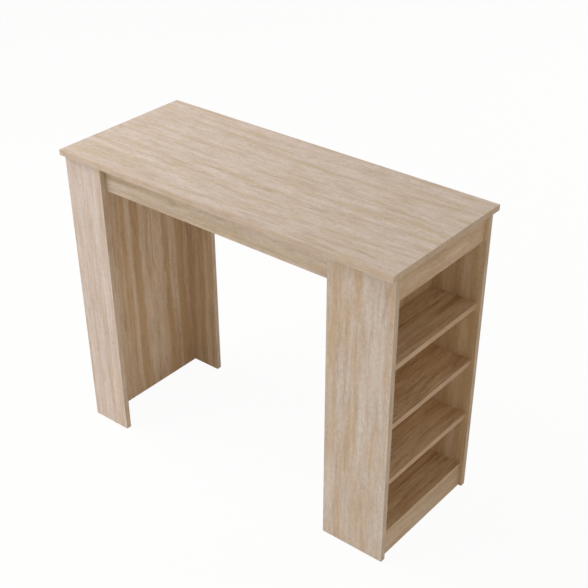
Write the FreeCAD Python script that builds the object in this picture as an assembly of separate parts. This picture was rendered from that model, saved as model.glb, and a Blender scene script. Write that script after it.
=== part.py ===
import FreeCAD, Part
import os

# Bar table with an open shelf cabinet under one end and a narrow panel leg under the other.
# It is flat boards with banded edges, joined with cam fittings and wooden dowels.
# Frame: origin on the floor under the middle of the top, +X to the cabinet end, +Y to the back, +Z up.

# Overall sizes, in millimetres
table_length = 1200.0
table_depth = 500.0
table_height = 975.0
top_board = 18.0
panel_board = 18.0

# Leg under the -X end: a front panel, a back panel and a side panel between them
leg_width = 146.0
leg_end_overhang = 9.0
leg_front_overhang = 12.0
leg_side_inset = 18.0

# Cabinet under the +X end
cabinet_width = 215.0
cabinet_end_overhang = 9.0
divider_inset = 33.0
shelf_setback = 11.0
plinth_height = 91.0
open_bays = 4

# Rails under the top, and the overhang of the top behind both back panels
long_apron_height = 80.0
end_apron_height = 87.0
back_overhang = 16.0

# Edge bands
band = 1.0
band_round = 0.7

# Floor glides
glide_height = 2.0
glide_diameter = 14.0
glide_nail_diameter = 2.4
glide_nail_length = 16.0
glide_margin = 25.0

# Cam fittings: the bolt screws into a board's face, the cam sits in the face of the board that butts on it
cam_diameter = 15.0
cam_height = 13.0
cam_distance = 34.0
cam_mouth_clearance = 0.5
cam_cross_length = 9.0
cam_cross_width = 1.8
cam_cross_depth = 2.4
bolt_screw_diameter = 5.0
bolt_screw_length = 11.0
bolt_shank_diameter = 6.0
bolt_neck_diameter = 4.0
bolt_neck_length = 3.0
bolt_head_diameter = 6.6
bolt_head_length = 5.0
bolt_bore_diameter = 8.0
cap_diameter = 17.0
cap_height = 1.2
cap_chamfer = 0.5
cap_stub_diameter = 1.5
cap_stub_length = 2.0

# Dowels
dowel_diameter = 8.0
dowel_in_face = 10.0
dowel_in_edge = 20.0
dowel_chamfer = 0.8

# Fits
fit_clearance = 0.1
bore_end_gap = 1.0

# Places of the fittings, measured from the ends of the edge that they join
post_margin = 110.0
post_pair_gap = 60.0
top_cam_margin = 90.0
top_dowel_margin = 45.0
shelf_margin = 45.0
rail_margin = 28.0
apron_cam_margin = 220.0

X = FreeCAD.Vector(1, 0, 0)
Y = FreeCAD.Vector(0, 1, 0)
Z = FreeCAD.Vector(0, 0, 1)

# Levels
board_foot = glide_height
under_top = table_height - top_board
long_apron_bottom = under_top - long_apron_height
end_apron_bottom = under_top - end_apron_height
bay_pitch = (end_apron_bottom - plinth_height) / open_bays

# The top
top_x0 = -table_length / 2
top_x1 = table_length / 2
top_y0 = -table_depth / 2
top_y1 = table_depth / 2

# Planes of the leg
leg_x0 = top_x0 + leg_end_overhang
leg_x1 = leg_x0 + leg_width
leg_front_y0 = top_y0 + leg_front_overhang
leg_front_y1 = leg_front_y0 + panel_board
side_x0 = leg_x0 + leg_side_inset
side_x1 = side_x0 + panel_board
side_mid = (side_x0 + side_x1) / 2

# Planes of the cabinet, whose front lies one board behind the front of the leg
cab_x1 = top_x1 - cabinet_end_overhang
cab_x0 = cab_x1 - cabinet_width
cab_front_y0 = leg_front_y1
cab_front_y1 = cab_front_y0 + panel_board
divider_x0 = cab_x0 + divider_inset
divider_x1 = divider_x0 + panel_board
divider_mid = (divider_x0 + divider_x1) / 2
rail_x1 = cab_x1 - shelf_setback
rail_x0 = rail_x1 - panel_board
rail_mid = (rail_x0 + rail_x1) / 2

# Both back panels share one plane. The front apron is flush with the cabinet's front, and behind the leg's.
back_y1 = top_y1 - back_overhang
back_y0 = back_y1 - panel_board
front_apron_y0 = cab_front_y0
front_apron_y1 = front_apron_y0 + panel_board
back_apron_y1 = back_y0
back_apron_y0 = back_apron_y1 - panel_board

boards = {}
cutters = {}
fittings = {}
tolerance = 1e-6


def spread(low, high, margin, count):
    """Evenly spaced places along an edge, the first and last at the margin from its ends."""
    step = (high - low - 2 * margin) / (count - 1)
    return [low + margin + step * i for i in range(count)]


def add_fitting(node, solid):
    """Puts one more solid into a group of like pieces."""
    fittings.setdefault(node, []).append(solid)


def edge_band(low, high, axis, outer):
    """A thin strip whose two long outer edges are rounded."""
    size = high - low
    strip = Part.makeBox(size.x, size.y, size.z, low)
    length = max(size.x, size.y, size.z)
    long_edges = [edge for edge in strip.Edges if abs(edge.Length - length) < tolerance]
    outer_edges = [
        edge for edge in long_edges if all(abs(v.Point[axis] - outer) < tolerance for v in edge.Vertexes)
    ]
    return strip.makeFillet(band_round, outer_edges)


def add_board(node, low, high, banded_sides="", band_node=None):
    """A board between two corners. Each side named, such as x+ or y-, loses a band to a strip of its own."""
    low = FreeCAD.Vector(*low)
    high = FreeCAD.Vector(*high)
    for side in banded_sides.split():
        axis = "xyz".index(side[0])
        strip_low = FreeCAD.Vector(low)
        strip_high = FreeCAD.Vector(high)
        if side[1] == "+":
            outer = high[axis]
            high[axis] = strip_low[axis] = outer - band
        else:
            outer = low[axis]
            low[axis] = strip_high[axis] = outer + band
        add_fitting(band_node, edge_band(strip_low, strip_high, axis, outer))
    size = high - low
    boards[node] = Part.makeBox(size.x, size.y, size.z, low)
    cutters[node] = []


def rod(diameter, start, end):
    """A cylinder along local X."""
    return Part.makeCylinder(diameter / 2, end - start, X * start, X)


# Cam fitting in a local frame: the joint's plane at X 0, the butting board on +X, the cam's face towards +Z
half_board = panel_board / 2
bolt_neck_start = cam_distance - bolt_head_length / 2 - bolt_neck_length
bolt_head_start = bolt_neck_start + bolt_neck_length
bolt_head_end = bolt_head_start + bolt_head_length
cam_axis = X * cam_distance

cam_bolt = rod(bolt_screw_diameter, -bolt_screw_length, 0).fuse([
    rod(bolt_shank_diameter, 0, bolt_neck_start),
    rod(bolt_neck_diameter, bolt_neck_start, bolt_head_start),
    rod(bolt_head_diameter, bolt_head_start, bolt_head_end),
]).removeSplitter()
bolt_face_bore = rod(bolt_screw_diameter + fit_clearance, -bolt_screw_length - bore_end_gap, 0)

cam_bore_diameter = cam_diameter + fit_clearance
cam_bore_floor = half_board - cam_height - fit_clearance
cam_edge_bore = rod(bolt_bore_diameter, 0, cam_distance).fuse(
    Part.makeCylinder(cam_bore_diameter / 2, cam_height + fit_clearance, cam_axis + Z * cam_bore_floor)
)

mouth_width = bolt_head_diameter + 2 * cam_mouth_clearance
mouth_reach = bolt_head_length / 2 + cam_mouth_clearance
mouth_bottom = half_board - cam_height
mouth_top = mouth_width / 2
cam_mouth = Part.makeBox(
    cam_diameter / 2 + mouth_reach,
    mouth_width,
    mouth_top - mouth_bottom,
    FreeCAD.Vector(cam_distance - cam_diameter / 2, -mouth_width / 2, mouth_bottom),
)
cross_bottom = half_board - cam_cross_depth
cross_arms = [
    Part.makeBox(
        length,
        width,
        cam_cross_depth,
        FreeCAD.Vector(cam_distance - length / 2, -width / 2, cross_bottom),
    )
    for length, width in ((cam_cross_length, cam_cross_width), (cam_cross_width, cam_cross_length))
]
cam_body = Part.makeCylinder(cam_diameter / 2, cam_height, cam_axis + Z * mouth_bottom)
cam_lock = cam_body.cut([cam_mouth] + cross_arms)

cap_disc = Part.makeCylinder(cap_diameter / 2, cap_height, cam_axis + Z * half_board)
cap_rim = [edge for edge in cap_disc.Edges if edge.BoundBox.ZMin > half_board + cap_height / 2]
cap_stub_foot = cam_axis + Z * (half_board - cap_stub_length)
cap_stub = Part.makeCylinder(cap_stub_diameter / 2, cap_stub_length, cap_stub_foot)
cover_cap = cap_disc.makeChamfer(cap_chamfer, cap_rim).fuse(cap_stub)

# Dowel in the same local frame
dowel = rod(dowel_diameter, -dowel_in_face, dowel_in_edge)
dowel = dowel.makeChamfer(dowel_chamfer, [edge for edge in dowel.Edges if len(edge.Vertexes) == 1])
dowel_face_bore = rod(dowel_diameter + fit_clearance, -dowel_in_face - bore_end_gap, 0)
dowel_edge_bore = rod(dowel_diameter + fit_clearance, 0, dowel_in_edge + bore_end_gap)


def placed(shape, point, into_face, cam_face):
    """A copy of a local shape, with its X pointing out of the face board and its Z along the cam's face."""
    along = into_face * -1
    copy = shape.copy()
    turn = FreeCAD.Rotation(along, cam_face.cross(along), cam_face, "XZY")
    copy.Placement = FreeCAD.Placement(point, turn)
    return copy


def cam_joint(group, edge_node, face_node, point, into_face, cam_face, capped=False):
    """A bolt in the face board and a cam in the butting board, with the bores for both."""
    point = FreeCAD.Vector(*point)
    cutters[face_node].append(placed(bolt_face_bore, point, into_face, cam_face))
    cutters[edge_node].append(placed(cam_edge_bore, point, into_face, cam_face))
    add_fitting(group + "_cam_bolts", placed(cam_bolt, point, into_face, cam_face))
    add_fitting(group + "_cam_locks", placed(cam_lock, point, into_face, cam_face))
    if capped:
        add_fitting(group + "_cam_cover_caps", placed(cover_cap, point, into_face, cam_face))


def dowel_joint(group, edge_node, face_node, point, into_face, through=None):
    """A dowel between two boards, with the bores for both ends, which may also pass through an edge band."""
    point = FreeCAD.Vector(*point)
    across = Z if into_face.z == 0 else X
    face_bore = placed(dowel_face_bore, point, into_face, across)
    cutters[face_node].append(face_bore)
    if through:
        cutters.setdefault(through, []).append(face_bore)
    cutters[edge_node].append(placed(dowel_edge_bore, point, into_face, across))
    add_fitting(group + "_dowels", placed(dowel, point, into_face, across))


def floor_glide(group, node, x, y):
    """A nail-in glide under the bottom edge of a board."""
    cutters[node].append(
        Part.makeCylinder(
            (glide_nail_diameter + fit_clearance) / 2,
            glide_nail_length + bore_end_gap,
            FreeCAD.Vector(x, y, board_foot),
        )
    )
    foot = Part.makeCylinder(glide_diameter / 2, glide_height, FreeCAD.Vector(x, y, 0))
    nail = Part.makeCylinder(glide_nail_diameter / 2, glide_nail_length, FreeCAD.Vector(x, y, board_foot))
    add_fitting(group + "_floor_glides", foot.fuse(nail))


# Table top, banded all round
top_low = (top_x0, top_y0, under_top)
top_high = (top_x1, top_y1, table_height)
add_board("table_top", top_low, top_high, "x- x+ y- y+", "table_top_edge_bands")

# Leg: front and back panels banded on their upright edges, and the side panel between them
leg_panels = {"leg_front_panel": (leg_front_y0, leg_front_y1), "leg_back_panel": (back_y0, back_y1)}
for node, (y0, y1) in leg_panels.items():
    add_board(node, (leg_x0, y0, board_foot), (leg_x1, y1, under_top), "x- x+", "leg_edge_bands")
add_board("leg_side_panel", (side_x0, leg_front_y1, board_foot), (side_x1, back_y0, under_top))

# Cabinet: front and back panels, and the divider that closes the shelves towards the knees
cabinet_panels = {
    "cabinet_front_panel": (cab_front_y0, cab_front_y1),
    "cabinet_back_panel": (back_y0, back_y1),
}
for node, (y0, y1) in cabinet_panels.items():
    add_board(node, (cab_x0, y0, board_foot), (cab_x1, y1, under_top), "x- x+", "cabinet_edge_bands")
add_board("cabinet_divider", (divider_x0, cab_front_y1, board_foot), (divider_x1, back_y0, under_top))

# Shelves at one pitch, the bottom shelf behind the plinth, and the rail under the top at the open end
shelf_tops = {
    node: plinth_height + bay_pitch * (i + 1)
    for i, node in enumerate(("lower_shelf", "middle_shelf", "upper_shelf"))
}
for node, z in shelf_tops.items():
    low = (divider_x1, cab_front_y1, z - panel_board)
    add_board(node, low, (rail_x1, back_y0, z), "x+", "shelf_edge_bands")
shelf_tops["bottom_shelf"] = plinth_height
bottom_low = (divider_x1, cab_front_y1, plinth_height - panel_board)
add_board("bottom_shelf", bottom_low, (rail_x0, back_y0, plinth_height))
rails = {"plinth": (board_foot, plinth_height, "z+"), "end_apron": (end_apron_bottom, under_top, "z-")}
for node, (z0, z1, banded_side) in rails.items():
    low = (rail_x0, cab_front_y1, z0)
    add_board(node, low, (rail_x1, back_y0, z1), banded_side, "rail_edge_bands")

# Long aprons from the leg's side panel, the front one to the cabinet's front and the back one to the divider
long_aprons = {
    "front_apron": (front_apron_y0, front_apron_y1, cab_x0),
    "back_apron": (back_apron_y0, back_apron_y1, divider_x0),
}
for node, (y0, y1, x1) in long_aprons.items():
    add_board(node, (side_x1, y0, long_apron_bottom), (x1, y1, under_top), "z-", "rail_edge_bands")

# Upright joints: side panel and divider to the panels in front of and behind them
uprights = (
    ("leg", "leg_side_panel", side_mid, leg_panels, leg_front_y1),
    ("cabinet", "cabinet_divider", divider_mid, cabinet_panels, cab_front_y1),
)
for group, upright, x, panels, front_plane in uprights:
    front_panel, back_panel = panels
    for panel, plane, into_face in ((front_panel, front_plane, Y * -1), (back_panel, back_y0, Y)):
        for z in spread(board_foot, long_apron_bottom, post_margin, 2):
            cam_joint(group, upright, panel, (x, plane, z), into_face, X * -1, capped=True)
        for z in spread(board_foot, long_apron_bottom, post_margin + post_pair_gap, 3):
            dowel_joint(group, upright, panel, (x, plane, z), into_face)
    for y in spread(front_plane, back_y0, top_cam_margin, 2):
        cam_joint("top", upright, "table_top", (x, y, under_top), Z, X * -1, capped=True)
    for y in spread(front_plane, back_y0, top_cam_margin + top_dowel_margin, 2):
        dowel_joint("top", upright, "table_top", (x, y, under_top), Z)
    for panel, (y0, y1) in panels.items():
        box = boards[panel].BoundBox
        for panel_x in spread(box.XMin, box.XMax, top_dowel_margin, 2):
            dowel_joint("top", panel, "table_top", (panel_x, (y0 + y1) / 2, under_top), Z)
        for panel_x in spread(box.XMin, box.XMax, glide_margin, 2):
            floor_glide(group, panel, panel_x, (y0 + y1) / 2)

# Shelves: one cam and one dowel at each end, and one dowel into the divider
cabinet_ends = (("cabinet_front_panel", cab_front_y1, Y * -1), ("cabinet_back_panel", back_y0, Y))
bay_mid_y = (cab_front_y1 + back_y0) / 2
for shelf, top in shelf_tops.items():
    z = top - panel_board / 2
    dowel_x, cam_x = spread(divider_x1, rail_x0, shelf_margin, 2)
    for panel, plane, into_face in cabinet_ends:
        cam_joint("shelf", shelf, panel, (cam_x, plane, z), into_face, Z * -1)
        dowel_joint("shelf", shelf, panel, (dowel_x, plane, z), into_face)
    dowel_joint("shelf", shelf, "cabinet_divider", (divider_x1, bay_mid_y, z), X * -1)
for y in spread(cab_front_y1, back_y0, top_cam_margin, 2):
    dowel_joint("shelf", "bottom_shelf", "plinth", (rail_x0, y, plinth_height - panel_board / 2), X)

# Plinth and end apron: one cam and one dowel at each end
for rail, (z0, z1, banded_side) in rails.items():
    cam_z, dowel_z = spread(z0, z1, rail_margin, 2)
    for panel, plane, into_face in cabinet_ends:
        cam_joint("rail", rail, panel, (rail_mid, plane, cam_z), into_face, X * -1)
        dowel_joint("rail", rail, panel, (rail_mid, plane, dowel_z), into_face)

# Long aprons: cams on the faces turned inwards, at their butted ends and up to the top
cam_z, dowel_z = spread(long_apron_bottom, under_top, rail_margin, 2)
for apron, inner_face in (("front_apron", Y), ("back_apron", Y * -1)):
    y0, y1, x1 = long_aprons[apron]
    y = (y0 + y1) / 2
    cam_joint("rail", apron, "leg_side_panel", (side_x1, y, cam_z), X * -1, inner_face)
    dowel_joint("rail", apron, "leg_side_panel", (side_x1, y, dowel_z), X * -1)
    for x in spread(side_x1, x1, apron_cam_margin, 2):
        cam_joint("top", apron, "table_top", (x, y, under_top), Z, inner_face)
    for x in spread(side_x1, x1, apron_cam_margin + top_dowel_margin, 2):
        dowel_joint("top", apron, "table_top", (x, y, under_top), Z)
    if apron == "back_apron":
        cam_joint("rail", apron, "cabinet_divider", (x1, y, cam_z), X, inner_face)
        dowel_joint("rail", apron, "cabinet_divider", (x1, y, dowel_z), X)
    else:
        for z in (cam_z, dowel_z):
            dowel_joint("rail", apron, "cabinet_front_panel", (x1, y, z), X, through="cabinet_edge_bands")

# One file for each board, and one for each group of like fittings
os.makedirs("parts", exist_ok=True)
for node, board in boards.items():
    shape = board.cut(cutters[node]) if cutters[node] else board
    shape.exportStep("parts/" + node + ".step")
for node, solids in fittings.items():
    if node in cutters:
        solids = [piece for solid in solids for piece in solid.cut(cutters[node]).Solids]
    Part.makeCompound(solids).exportStep("parts/" + node + ".step")
print(len(boards), "boards,", len(fittings), "groups,", sum(len(s) for s in fittings.values()), "fittings")
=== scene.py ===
import math

import bpy
from mathutils import Matrix, Vector

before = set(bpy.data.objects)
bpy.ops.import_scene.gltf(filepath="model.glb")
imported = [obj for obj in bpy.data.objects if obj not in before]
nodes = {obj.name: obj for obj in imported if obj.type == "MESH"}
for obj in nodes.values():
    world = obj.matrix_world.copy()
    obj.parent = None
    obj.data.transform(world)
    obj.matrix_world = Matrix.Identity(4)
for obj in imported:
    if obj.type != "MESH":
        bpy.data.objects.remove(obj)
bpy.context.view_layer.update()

# Table top: one chipboard panel faced with matt melamine, printed as pale limed oak.
# Its grain runs the table's length: broken streaks, golden clouds, brown flecks and a few fine lines.
# Cut edges that carry no edge band show the raw pressed chips.
NOISE_MIDDLE = 0.5
# The turn that brings each of the table's axes onto X, where the print's grain runs
GRAIN_TURN = {
    "x": (0.0, 0.0, 0.0),
    "y": (0.0, 0.0, -math.pi / 2),
    "z": (0.0, math.pi / 2, 0.0),
}


def linear(rgb):
    """A colour from 0 to 255 values, turned by the sRGB curve into what a shader socket takes."""
    channels = [c / 255 for c in rgb]
    return tuple(c / 12.92 if c <= 0.04045 else ((c + 0.055) / 1.055) ** 2.4 for c in channels) + (1.0,)


def add_node(tree, kind, sockets=None, **settings):
    """A shader node with its settings, and its sockets either linked or set."""
    node = tree.nodes.new(kind)
    for name, value in settings.items():
        setattr(node, name, value)
    for name, value in (sockets or {}).items():
        if isinstance(value, bpy.types.NodeSocket):
            tree.links.new(value, node.inputs[name])
        else:
            node.inputs[name].default_value = value
    return node


def blank_material(name):
    """A new material with its node tree and its Principled shader."""
    material = bpy.data.materials.new(name)
    material.use_nodes = True
    return material, material.node_tree, material.node_tree.nodes["Principled BSDF"]


def math_node(tree, operation, a, b=0.0):
    """The result of one sum on two values."""
    return add_node(tree, "ShaderNodeMath", {0: a, 1: b}, operation=operation).outputs[0]


def vector_node(tree, operation, a, b):
    """The result of one sum on two vectors."""
    return add_node(tree, "ShaderNodeVectorMath", {0: a, 1: b}, operation=operation).outputs[0]


def ramp(tree, factor, levels, colours):
    """A colour ramp that has each colour at its own level of the factor."""
    node = add_node(tree, "ShaderNodeValToRGB", {"Fac": factor})
    elements = node.color_ramp.elements
    between_its_ends = 0.5
    while len(elements) < len(levels):
        elements.new(between_its_ends)
    for element, level, colour in zip(elements, levels, colours):
        element.position = level
        element.color = colour
    return node.outputs["Color"]


def tone_ramp(tree, factor, levels, tones):
    """A ramp of colours from 0 to 255 values."""
    return ramp(tree, factor, levels, [linear(tone) for tone in tones])


def value_ramp(tree, factor, levels, values):
    """A ramp of plain values."""
    return ramp(tree, factor, levels, [(value, value, value, 1.0) for value in values])


def mix_colour(tree, factor, a, b):
    """Two colours mixed by a factor: a Mix node has its colour sockets at these places."""
    return add_node(tree, "ShaderNodeMix", {0: factor, 6: a, 7: b}, data_type="RGBA").outputs[2]


def grain_place(tree, grain, cut):
    """Object coordinates turned so that X runs along the grain, and shifted to the stretch of print cut."""
    place = add_node(tree, "ShaderNodeTexCoord").outputs["Object"]
    sockets = {"Vector": place, "Rotation": GRAIN_TURN[grain], "Location": cut}
    return add_node(tree, "ShaderNodeMapping", sockets).outputs[0]


def grain_noise(tree, place, per_metre, detail=2.0, roughness=0.5, output="Fac"):
    """Noise drawn out along the grain: per_metre counts its features along and across."""
    along, across = per_metre
    stretched = add_node(tree, "ShaderNodeMapping", {"Vector": place, "Scale": (along, across, across)})
    sockets = {"Vector": stretched.outputs[0], "Scale": 1.0, "Detail": detail, "Roughness": roughness}
    return add_node(tree, "ShaderNodeTexNoise", sockets).outputs[output]


def broken(per_metre, breaks):
    """The count of features along and across, with more of them along the grain."""
    along, across = per_metre
    return along * breaks, across


def swayed(tree, place, per_metre, reach):
    """Places pushed sideways off the grain by up to about half the reach, in metres."""
    sway = grain_noise(tree, place, per_metre, detail=3.0, roughness=0.55, output="Color")
    centred = vector_node(tree, "SUBTRACT", sway, (NOISE_MIDDLE, NOISE_MIDDLE, NOISE_MIDDLE))
    return vector_node(tree, "ADD", place, vector_node(tree, "MULTIPLY", centred, (0.0, reach, reach)))


def swing(tree, noise, amount):
    """Noise turned into a factor about 1, for making a colour lighter or darker."""
    return math_node(tree, "ADD", math_node(tree, "MULTIPLY", noise, amount), 1.0 - amount / 2)


def link_finish(tree, shader, colour, roughness, height, strength, depth):
    """Gives a shader its colour, its roughness and a fine relief, whose depth is in metres."""
    relief = add_node(tree, "ShaderNodeBump", {"Height": height, "Strength": strength, "Distance": depth})
    tree.links.new(colour, shader.inputs["Base Color"])
    tree.links.new(roughness, shader.inputs["Roughness"])
    tree.links.new(relief.outputs[0], shader.inputs["Normal"])


CHIP_DARK = (140, 110, 76)
CHIP_PALE = (196, 168, 128)
CHIP_LEVELS = (0.36, 0.62)
CHIPS_PER_METRE = 420.0


def raw_chips(tree, place):
    """The pressed chips of a cut edge."""
    sockets = {"Vector": place, "Scale": CHIPS_PER_METRE, "Detail": 4.0, "Roughness": 0.7}
    chips = add_node(tree, "ShaderNodeTexNoise", sockets).outputs["Fac"]
    return tone_ramp(tree, chips, CHIP_LEVELS, (CHIP_DARK, CHIP_PALE))


# The print's features per metre, along and across the grain
BROAD_SWAY = (2.5, 7.0)
FINE_SWAY = (20.0, 55.0)
CLOUDS = (9.0, 38.0)
STREAKS = (7.0, 95.0)
MOTTLE = (90.0, 130.0)
GROWTH_LINES = (1.8, 30.0)
HAIR_LINES = (3.0, 70.0)
FLECKS = (45.0, 260.0)
# How far the grain sways, in metres
BROAD_REACH = 0.02
FINE_REACH = 0.008
# The levels of noise between which a feature comes in, and how much of the noise a line takes up
CLOUD_LEVELS = (0.46, 0.70)
GROWTH_LINE_LEVELS = (0.50, 0.66)
GROWTH_LINE_WIDTH = 0.035
HAIR_LINE_LEVELS = (0.46, 0.62)
HAIR_LINE_WIDTH = 0.045
FLECK_LEVELS = (0.64, 0.74)
# Colours of lines and flecks, and the melamine's shine
OAK_LINE = (152, 122, 92)
OAK_FLECK = (136, 108, 80)
SHINE_LEVELS = (0.3, 0.7)
MELAMINE_ROUGHNESS = (0.52, 0.66)
MELAMINE_SPECULAR = 0.2
# A face that looks along the board's thickness by more than this is a printed one
PRINTED_FACE = 0.5
oak_lines = (
    (GROWTH_LINES, GROWTH_LINE_WIDTH, GROWTH_LINE_LEVELS),
    (HAIR_LINES, HAIR_LINE_WIDTH, HAIR_LINE_LEVELS),
)


def oak_face(
    name,
    grain,
    thickness,
    cut,
    tones,
    bands=(2.0, 40.0),
    spread=0.15,
    clouds=0.5,
    streak=0.36,
    mottle=0.34,
    fleck=0.4,
    line=0.3,
    breaks=1.0,
):
    """Printed oak melamine on a board.

    The grain and the thickness are axes of the table, and cut is the board's place in the print, in metres.
    The tones are its pale, middle and golden colours, and bands counts them per metre along and across.
    A small spread sets the tones hard against each other, and the next five are strengths.
    Clouds, streaks and lines are shorter where breaks is over 1.
    """
    material, tree, shader = blank_material(name)
    straight = grain_place(tree, grain, cut)
    wavy = swayed(tree, swayed(tree, straight, BROAD_SWAY, BROAD_REACH), FINE_SWAY, FINE_REACH)

    # Soft bands set the tone, and golden clouds lie over them
    tone = grain_noise(tree, wavy, bands, detail=3.0, roughness=0.6)
    tone_levels = (NOISE_MIDDLE - spread, NOISE_MIDDLE, NOISE_MIDDLE + spread)
    colour = tone_ramp(tree, tone, tone_levels, tones)
    cloud_noise = grain_noise(tree, wavy, broken(CLOUDS, breaks), detail=3.0, roughness=0.6)
    cloud = value_ramp(tree, cloud_noise, CLOUD_LEVELS, (0.0, clouds))
    gold = linear(tones[-1])
    colour = mix_colour(tree, cloud, colour, gold)

    # Fine broken streaks and a short mottle make it lighter and darker
    streaks = grain_noise(tree, wavy, broken(STREAKS, breaks), detail=4.0, roughness=0.62)
    fuzz = grain_noise(tree, straight, MOTTLE, detail=3.0, roughness=0.65)
    shade = math_node(tree, "MULTIPLY", swing(tree, streaks, streak), swing(tree, fuzz, mottle))
    shaded = add_node(tree, "ShaderNodeVectorMath", {0: colour, "Scale": shade}, operation="SCALE")
    colour = shaded.outputs[0]

    # Growth lines and finer hair lines sway with the bands and fade in and out
    for per_metre, width, levels in oak_lines:
        along, across = per_metre
        ridge = math_node(tree, "SUBTRACT", grain_noise(tree, wavy, per_metre), NOISE_MIDDLE)
        drawn = value_ramp(tree, math_node(tree, "ABSOLUTE", ridge), (0.0, width), (1.0, 0.0))
        patch_noise = grain_noise(tree, straight, broken((along * 2, across / 2), breaks))
        patch = value_ramp(tree, patch_noise, levels, (0.0, line))
        shown = math_node(tree, "MULTIPLY", drawn, patch)
        colour = mix_colour(tree, shown, colour, linear(OAK_LINE))

    # Short brown flecks
    flecks = value_ramp(tree, grain_noise(tree, wavy, FLECKS), FLECK_LEVELS, (0.0, fleck))
    colour = mix_colour(tree, flecks, colour, linear(OAK_FLECK))

    # The print covers the two broad faces, and the cut edges between them are raw
    normal = add_node(tree, "ShaderNodeNewGeometry").outputs["Normal"]
    sides = add_node(tree, "ShaderNodeSeparateXYZ", {"Vector": normal})
    facing = math_node(tree, "ABSOLUTE", sides.outputs["xyz".index(thickness)])
    printed = math_node(tree, "GREATER_THAN", facing, PRINTED_FACE)
    colour = mix_colour(tree, printed, raw_chips(tree, straight), colour)

    # Matt print with a fine pressed grain
    roughness = value_ramp(tree, streaks, SHINE_LEVELS, MELAMINE_ROUGHNESS)
    shader.inputs["Specular IOR Level"].default_value = MELAMINE_SPECULAR
    height = math_node(tree, "SUBTRACT", streaks, flecks)
    link_finish(tree, shader, colour, roughness, height, strength=0.1, depth=0.0004)
    return material


def dress(node, material):
    """Gives a node's object one material."""
    mesh = nodes[node].data
    mesh.materials.clear()
    mesh.materials.append(material)


TOP_PALE = (210, 194, 181)
TOP_BEIGE = (205, 187, 172)
TOP_GOLD = (194, 174, 148)
oak_table_top = oak_face(
    "oak_table_top",
    grain="x",
    thickness="z",
    cut=(0.31, 0.17, 0.05),
    tones=(TOP_PALE, TOP_BEIGE, TOP_GOLD),
    bands=(3.4, 42.0),
    spread=0.16,
    clouds=0.6,
    streak=0.3,
    fleck=0.5,
    line=0.24,
    breaks=1.8,
)
dress("table_top", oak_table_top)

# Edge bands of the top: thin plastic edging glued round the board, printed to match it.
# Its tone is even, with faint streaks along the table's length.
TOP_BAND_PALE = (203, 184, 167)
TOP_BAND_TAN = (186, 165, 143)
EDGING_STREAKS = (9.0, 150.0)
EDGING_DRIFT = (14.0, 14.0)
EDGING_LEVELS = (0.40, 0.61)
EDGING_ROUGHNESS = (0.5, 0.6)


def oak_edging(name, grain, cut, tones):
    """Printed edging with faint streaks along the grain: tones are its pale and its tan colour."""
    material, tree, shader = blank_material(name)
    straight = grain_place(tree, grain, cut)
    streaks = grain_noise(tree, straight, EDGING_STREAKS, detail=3.0, roughness=0.6)
    drift = grain_noise(tree, straight, EDGING_DRIFT, detail=3.0, roughness=0.6)
    mean = math_node(tree, "DIVIDE", math_node(tree, "ADD", streaks, drift), 2.0)
    colour = tone_ramp(tree, mean, EDGING_LEVELS, tones)
    roughness = value_ramp(tree, streaks, SHINE_LEVELS, EDGING_ROUGHNESS)
    shader.inputs["Specular IOR Level"].default_value = MELAMINE_SPECULAR
    link_finish(tree, shader, colour, roughness, streaks, strength=0.06, depth=0.0003)
    return material


top_band_tones = (TOP_BAND_PALE, TOP_BAND_TAN)
edging_top = oak_edging("edging_table_top", grain="x", cut=(0.2, 0.4, 0.1), tones=top_band_tones)
dress("table_top_edge_bands", edging_top)

# Leg: two narrow panels with a side panel between them, cut from the same printed board.
# Cams and dowels join the three, and the upright edges of the narrow panels are banded.
# The grain stands upright, in longer bands than the top's, and in the broadest on the side panel.
LEG_PALE = (212, 201, 195)
LEG_BEIGE = (207, 192, 182)
LEG_GOLD = (201, 180, 161)
# The back and side panels take warmer, more golden and browner tones than the front panel: painted shade,
# standing for the warm shade on their inner faces.
LEG_BACK_PALE = (213, 195, 173)
LEG_BACK_BEIGE = (205, 185, 158)
LEG_BACK_GOLD = (196, 171, 142)
SIDE_PALE = (215, 197, 179)
SIDE_BEIGE = (204, 183, 160)
SIDE_BROWN = (193, 165, 133)
BAND_PALE = (200, 185, 170)
BAND_TAN = (185, 163, 142)
oak_leg_front = oak_face(
    "oak_leg_front",
    grain="z",
    thickness="y",
    cut=(0.4, 1.3, 0.7),
    tones=(LEG_PALE, LEG_BEIGE, LEG_GOLD),
    bands=(1.0, 48.0),
    streak=0.55,
)
oak_leg_back = oak_face(
    "oak_leg_back",
    grain="z",
    thickness="y",
    cut=(0.9, 2.1, 1.4),
    tones=(LEG_BACK_PALE, LEG_BACK_BEIGE, LEG_BACK_GOLD),
    bands=(0.6, 44.0),
    spread=0.07,
    streak=0.6,
    mottle=0.45,
)
oak_leg_side = oak_face(
    "oak_leg_side",
    grain="z",
    thickness="x",
    cut=(1.6, 0.5, 2.2),
    tones=(SIDE_PALE, SIDE_BEIGE, SIDE_BROWN),
    bands=(0.4, 24.0),
    spread=0.08,
    line=0.45,
)
band_tones = (BAND_PALE, BAND_TAN)
edging_leg = oak_edging("edging_leg", grain="z", cut=(0.5, 0.2, 0.9), tones=band_tones)
dress("leg_front_panel", oak_leg_front)
dress("leg_back_panel", oak_leg_back)
dress("leg_side_panel", oak_leg_side)
dress("leg_edge_bands", edging_leg)

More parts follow.
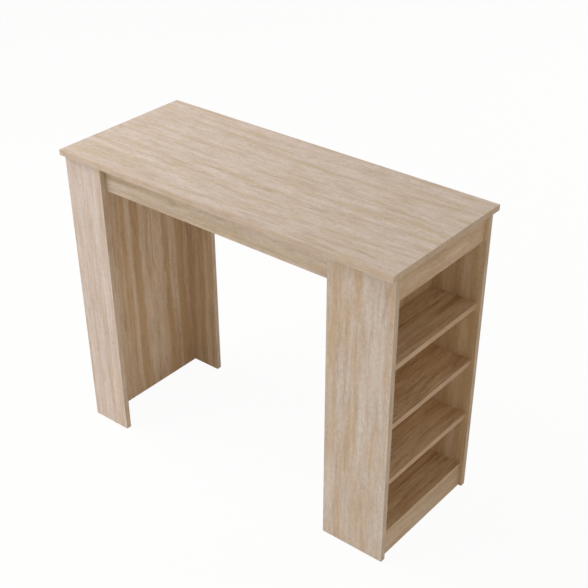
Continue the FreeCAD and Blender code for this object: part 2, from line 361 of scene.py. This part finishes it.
# Cabinet: front and back panels and the divider behind the shelves, printed boards with upright grain.
# The two panels stand on glides and have banded upright edges.
# Cams and dowels hold the divider between them.
CABINET_PALE = (206, 195, 185)
CABINET_BEIGE = (201, 185, 171)
CABINET_GOLD = (195, 173, 147)
# The back panel and the divider take warmer, more golden tones than the front panel: painted shade,
# standing for the warm shade inside the shelf bays.
BAY_PALE = (210, 189, 163)
BAY_BEIGE = (203, 179, 147)
BAY_GOLD = (195, 168, 134)
FRONT_BANDS = (2.4, 30.0)
BAY_BANDS = (1.6, 34.0)
cabinet_tones = (CABINET_PALE, CABINET_BEIGE, CABINET_GOLD)
bay_shaded_tones = (BAY_PALE, BAY_BEIGE, BAY_GOLD)
cabinet_boards = {
    "cabinet_front_panel": ("y", (2.9, 0.3, 1.9), cabinet_tones, FRONT_BANDS),
    "cabinet_back_panel": ("y", (3.1, 1.7, 0.2), bay_shaded_tones, BAY_BANDS),
    "cabinet_divider": ("x", (0.7, 2.9, 2.6), bay_shaded_tones, BAY_BANDS),
}
for node, (thickness, cut, tones, bands) in cabinet_boards.items():
    oak_cabinet = oak_face(
        "oak_" + node,
        grain="z",
        thickness=thickness,
        cut=cut,
        tones=tones,
        bands=bands,
        spread=0.12,
        streak=0.42,
        mottle=0.45,
        fleck=0.25,
    )
    dress(node, oak_cabinet)
edging_cabinet = oak_edging("edging_cabinet", grain="z", cut=(1.5, 1.2, 0.4), tones=band_tones)
dress("cabinet_edge_bands", edging_cabinet)

# Shelves: four short printed boards, held between the cabinet's panels with cams and dowels.
# The upper three are banded on the open side, and the bottom one ends at the plinth.
# Their grain runs from the front of the table to the back. Their warmer, browner tones, and those of their
# edging, are painted shade, standing for the warm shade inside the cabinet's bays.
SHELF_PALE = (220, 194, 163)
SHELF_BEIGE = (211, 183, 149)
SHELF_BROWN = (192, 156, 120)
SHELF_BAND_PALE = (198, 172, 148)
SHELF_BAND_TAN = (183, 153, 125)
shelf_cuts = {
    "upper_shelf": (0.2, 3.3, 0.6),
    "middle_shelf": (1.1, 4.2, 1.5),
    "lower_shelf": (2.3, 5.4, 0.8),
    "bottom_shelf": (3.2, 6.1, 1.2),
}
for node, cut in shelf_cuts.items():
    oak_shelf = oak_face(
        "oak_" + node,
        grain="y",
        thickness="z",
        cut=cut,
        tones=(SHELF_PALE, SHELF_BEIGE, SHELF_BROWN),
        bands=(4.0, 40.0),
        fleck=0.7,
        line=0.65,
    )
    dress(node, oak_shelf)
shelf_band_shaded_tones = (SHELF_BAND_PALE, SHELF_BAND_TAN)
edging_shelf = oak_edging("edging_shelf", grain="y", cut=(0.8, 0.6, 1.3), tones=shelf_band_shaded_tones)
dress("shelf_edge_bands", edging_shelf)

# Rails: the plinth under the bottom shelf and the aprons under the top, printed boards set on edge.
# Cams and dowels hold them at their ends, and the long edge that shows is banded.
# Their grain runs along their length.
RAIL_PALE = (206, 192, 179)
RAIL_BEIGE = (199, 183, 165)
RAIL_GOLD = (188, 167, 142)
# The plinth and the end apron face the right and take warmer tones than the long aprons: painted shade,
# standing for the warm shade on those faces.
END_RAIL_PALE = (208, 188, 166)
END_RAIL_BEIGE = (201, 178, 155)
END_RAIL_GOLD = (186, 162, 133)
RAIL_BAND_PALE = (208, 180, 147)
RAIL_BAND_TAN = (191, 159, 122)
long_rail_tones = (RAIL_PALE, RAIL_BEIGE, RAIL_GOLD)
end_rail_shaded_tones = (END_RAIL_PALE, END_RAIL_BEIGE, END_RAIL_GOLD)
rail_boards = {
    "plinth": ("y", "x", (4.3, 0.9, 2.0), end_rail_shaded_tones),
    "end_apron": ("y", "x", (5.2, 1.6, 0.3), end_rail_shaded_tones),
    "front_apron": ("x", "y", (8.1, 2.7, 1.4), long_rail_tones),
    "back_apron": ("x", "y", (7.3, 0.4, 2.8), long_rail_tones),
}
for node, (grain, thickness, cut, tones) in rail_boards.items():
    oak_rail = oak_face(
        "oak_" + node,
        grain=grain,
        thickness=thickness,
        cut=cut,
        tones=tones,
        spread=0.14,
        clouds=0.6,
        streak=0.5,
        breaks=1.4,
    )
    dress(node, oak_rail)
rail_band_tones = (RAIL_BAND_PALE, RAIL_BAND_TAN)
edging_rail = oak_edging("edging_rail", grain="y", cut=(1.9, 2.7, 0.5), tones=rail_band_tones)
dress("rail_edge_bands", edging_rail)

# Fittings: cast zinc cams, plated steel bolts and beech dowels that join the boards.
# Plastic caps are pressed over the cams of the upright boards, and plastic glides nailed under the panels.
# Each kind has its own plain finish.
FITTING_GROUPS = ("leg", "cabinet", "shelf", "rail", "top")
FINISH_LEVELS = (0.35, 0.7)
ROUGHNESS_SWING = 0.06


def speckled(name, fresh, worn, per_metre, roughness, metallic=0.0):
    """A plain moulded, cast or turned finish with a faint cloudy variation."""
    material, tree, shader = blank_material(name)
    place = add_node(tree, "ShaderNodeTexCoord").outputs["Object"]
    sockets = {"Vector": place, "Scale": per_metre, "Detail": 3.0, "Roughness": 0.6}
    cloud = add_node(tree, "ShaderNodeTexNoise", sockets).outputs["Fac"]
    colour = tone_ramp(tree, cloud, FINISH_LEVELS, (fresh, worn))
    roughnesses = (roughness - ROUGHNESS_SWING, roughness + ROUGHNESS_SWING)
    shine = value_ramp(tree, cloud, SHINE_LEVELS, roughnesses)
    shader.inputs["Metallic"].default_value = metallic
    link_finish(tree, shader, colour, shine, cloud, strength=0.05, depth=0.0002)
    return material


# For each kind: the finish, its fresh and worn colours, clouds per metre, roughness and, for metal, a 1
fitting_finishes = {
    "_cam_locks": speckled("zinc_casting", (168, 168, 170), (146, 146, 150), 900.0, 0.42, 1.0),
    "_cam_bolts": speckled("plated_steel", (196, 196, 198), (176, 177, 180), 700.0, 0.3, 1.0),
    "_dowels": speckled("beech_dowel", (206, 172, 130), (186, 150, 108), 260.0, 0.6),
    "_cam_cover_caps": speckled("cap_plastic", (204, 184, 163), (194, 173, 150), 500.0, 0.5),
    "_floor_glides": speckled("glide_plastic", (88, 78, 68), (76, 66, 58), 600.0, 0.55),
}
for group in FITTING_GROUPS:
    for ending, material in fitting_finishes.items():
        if group + ending in nodes:
            dress(group + ending, material)

# Floor: a plain white studio floor that keeps a faint soft shadow of the table.
# The camera and reflections see it white; its own tone only colours the light that it sends back up.
FLOOR_SIZE = 60.0
FLOOR_TONE = (0.90, 0.85, 0.77, 1.0)
STUDIO_WHITE = (255, 255, 255)
FLOOR_SHADOW_SHARE = 0.05


def seen_directly(tree):
    """1 where the camera, a reflection or a see-through ray looks at the surface, and 0 for its light."""
    ray = add_node(tree, "ShaderNodeLightPath").outputs
    camera_or_gloss = math_node(tree, "MAXIMUM", ray["Is Camera Ray"], ray["Is Glossy Ray"])
    return math_node(tree, "MAXIMUM", camera_or_gloss, ray["Is Transmission Ray"])


def mix_shaders(tree, share, first, second):
    """The first shader, with a share of the second."""
    sockets = {0: share, 1: first.outputs[0], 2: second.outputs[0]}
    return add_node(tree, "ShaderNodeMixShader", sockets).outputs[0]


bpy.ops.object.select_all(action="DESELECT")
bpy.ops.mesh.primitive_plane_add(size=FLOOR_SIZE, location=(0.0, 0.0, 0.0))
floor = bpy.context.object
floor.name = "studio_floor"
floor_material = bpy.data.materials.new("studio_floor")
floor_material.use_nodes = True
floor_tree = floor_material.node_tree
floor_tree.nodes.clear()
floor_lit = add_node(floor_tree, "ShaderNodeBsdfDiffuse", {"Color": FLOOR_TONE})
floor_white = add_node(floor_tree, "ShaderNodeEmission", {"Color": linear(STUDIO_WHITE), "Strength": 1.0})
white_share = math_node(floor_tree, "MULTIPLY", seen_directly(floor_tree), 1.0 - FLOOR_SHADOW_SHARE)
floor_surface = mix_shaders(floor_tree, white_share, floor_lit, floor_white)
add_node(floor_tree, "ShaderNodeOutputMaterial", {"Surface": floor_surface})
floor.data.materials.append(floor_material)

# Studio light: five soft square lamps, each turned towards the middle of the table.
# Four have the colour of daylight, and the one on the right is weak and warm.
# An even, slightly warm surround fills the rest, and the camera sees it as a white backdrop.
TABLE_MIDDLE = Vector((0.0, 0.0, 0.55))
SURROUND_TONE = (0.395, 0.365, 0.312, 1.0)
BACKDROP_WHITE = (251, 251, 251)
DAYLIGHT = (0.96, 0.99, 1.07)
WARM_LIGHT = (1.0, 0.88, 0.70)
# For each lamp: its place and width in metres, its power in watts and its colour
LAMPS = {
    "overhead_light": ((-1.8, -0.9, 3.4), 2.0, 54.0, DAYLIGHT),
    "left_light": ((-4.4, -1.8, 3.4), 3.2, 80.0, DAYLIGHT),
    "front_light": ((-2.8, -4.9, 0.8), 3.0, 76.0, DAYLIGHT),
    "right_light": ((3.8, -2.4, 1.4), 3.0, 24.0, WARM_LIGHT),
    "back_light": ((0.6, 5.0, 2.4), 3.0, 72.0, DAYLIGHT),
}
for name, (place, size, power, colour) in LAMPS.items():
    bpy.ops.object.light_add(type="AREA", location=place)
    lamp = bpy.context.object
    lamp.name = name
    lamp.data.size = size
    lamp.data.energy = power
    lamp.data.color = colour
    lamp.rotation_euler = (TABLE_MIDDLE - Vector(place)).to_track_quat("-Z", "Y").to_euler()
world = bpy.data.worlds.new("studio_surround")
bpy.context.scene.world = world
world.use_nodes = True
world_tree = world.node_tree
world_tree.nodes.clear()
surround = add_node(world_tree, "ShaderNodeBackground", {"Color": SURROUND_TONE, "Strength": 1.0})
backdrop = add_node(world_tree, "ShaderNodeBackground", {"Color": linear(BACKDROP_WHITE), "Strength": 1.0})
world_surface = mix_shaders(world_tree, seen_directly(world_tree), surround, backdrop)
add_node(world_tree, "ShaderNodeOutputWorld", {"Surface": world_surface})

# Camera: the photograph's view, from the right of the front and from above.
# Its place, turn and lens, and a small upward shift, come from a fit to the table's corners.
CAMERA_PLACE = (1.9088, -2.2407, 2.3486)
CAMERA_YAW = 39.103
CAMERA_PITCH = -34.944
CAMERA_ROLL = -0.175
CAMERA_LEVEL = 90.0
CAMERA_FOCAL_PIXELS = 1134.85
CAMERA_SHIFT_PIXELS = 79.97
IMAGE_PIXELS = 588
SENSOR_WIDTH = 36.0


def turned(degrees, axis):
    """The matrix of a turn about one axis."""
    return Matrix.Rotation(math.radians(degrees), 3, axis)


bpy.ops.object.camera_add(location=CAMERA_PLACE)
camera = bpy.context.object
camera_tilt = turned(CAMERA_LEVEL + CAMERA_PITCH, "X")
camera.rotation_euler = (turned(CAMERA_YAW, "Z") @ camera_tilt @ turned(CAMERA_ROLL, "Z")).to_euler()
camera.data.sensor_width = SENSOR_WIDTH
camera.data.lens = CAMERA_FOCAL_PIXELS * SENSOR_WIDTH / IMAGE_PIXELS
camera.data.shift_y = CAMERA_SHIFT_PIXELS / IMAGE_PIXELS
bpy.context.scene.camera = camera
bpy.context.scene.view_settings.view_transform = "Standard"
